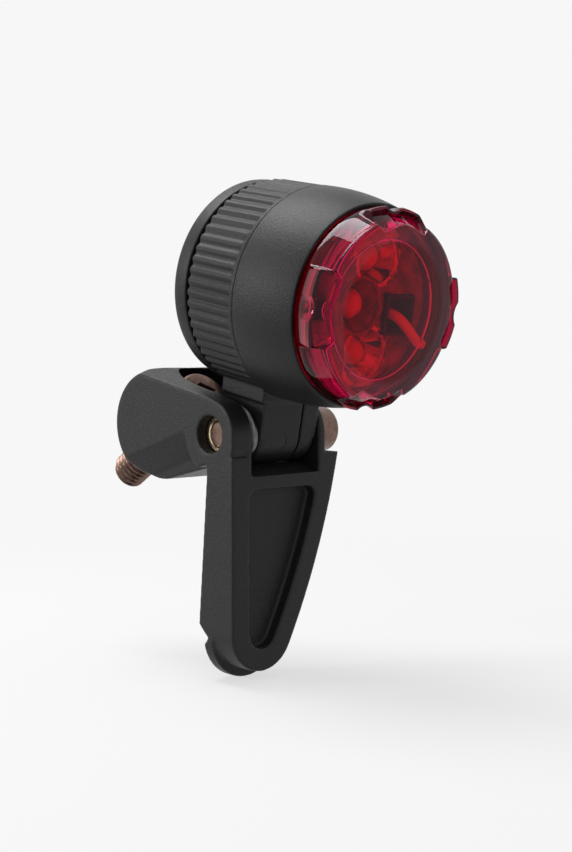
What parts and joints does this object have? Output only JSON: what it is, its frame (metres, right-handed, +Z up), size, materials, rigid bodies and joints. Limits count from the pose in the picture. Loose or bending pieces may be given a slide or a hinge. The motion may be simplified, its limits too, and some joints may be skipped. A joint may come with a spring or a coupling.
{
  "type": "bike rear light",
  "caption": "Round battery rear light with a red twist-off lens and a ribbed clamp band, tilting on a moulded bracket that is held by one angled bolt.",
  "frame": {"origin": "on the axis of the mounting bolt, in the plane of the seat face that is drawn against the bicycle", "axes": "+Z up, lens towards -Y, +X to the right seen from behind the bicycle, looking at the lens"},
  "size_m": [0.0326, 0.0619, 0.0767],
  "materials": {
    "black_plastic": "fine moulded grain, satin",
    "bronze_steel": "brown plated steel",
    "bright_steel": "bright zinc",
    "insert_brass": "turned",
    "contact_brass": "rolled sheet",
    "seal_rubber": "soft black",
    "red_lens": "clear red, polished",
    "reflector_plastic": "bright metallised",
    "led_resin": "clear red resin",
    "socket_plastic": "smooth dark",
    "guide_resin": "clear red resin",
    "board_laminate": "solder mask",
    "tray_plastic": "moulded",
    "cell_metal": "bright can"
  },
  "bodies": {
    "bracket": {"bracket": "black_plastic", "mounting_bolt": "bronze_steel", "bolt_washer": "bronze_steel", "pivot_screw": "bronze_steel", "pivot_insert": "insert_brass", "hinge_spring_washer": "bright_steel"},
    "lamp": {"mount_band": "black_plastic", "barrel": "black_plastic", "rear_cap": "black_plastic", "rear_seal": "seal_rubber", "front_seal": "seal_rubber", "reflector": "reflector_plastic", "leds": "led_resin", "light_socket": "socket_plastic", "light_guide": "guide_resin", "circuit_board": "board_laminate", "board_screws": "bright_steel", "battery_tray": "tray_plastic", "battery_cells": "cell_metal", "positive_contact": "contact_brass", "negative_contact": "contact_brass"},
    "lens": {"lens": "red_lens"}
  },
  "joints": [
    {"name": "lamp_tilt", "type": "hinge", "parent": "bracket", "child": "lamp", "pos_m": [0.0034, -0.02354, 0.00286], "axis": [1, 0, 0], "range_deg": [-5, 80]},
    {"name": "lens_twist", "type": "hinge", "parent": "lamp", "child": "lens", "pos_m": [0.0034, -0.03352, 0.02384], "axis": [0, -0.9816, -0.1908], "range_deg": [0, 30]}
  ]
}
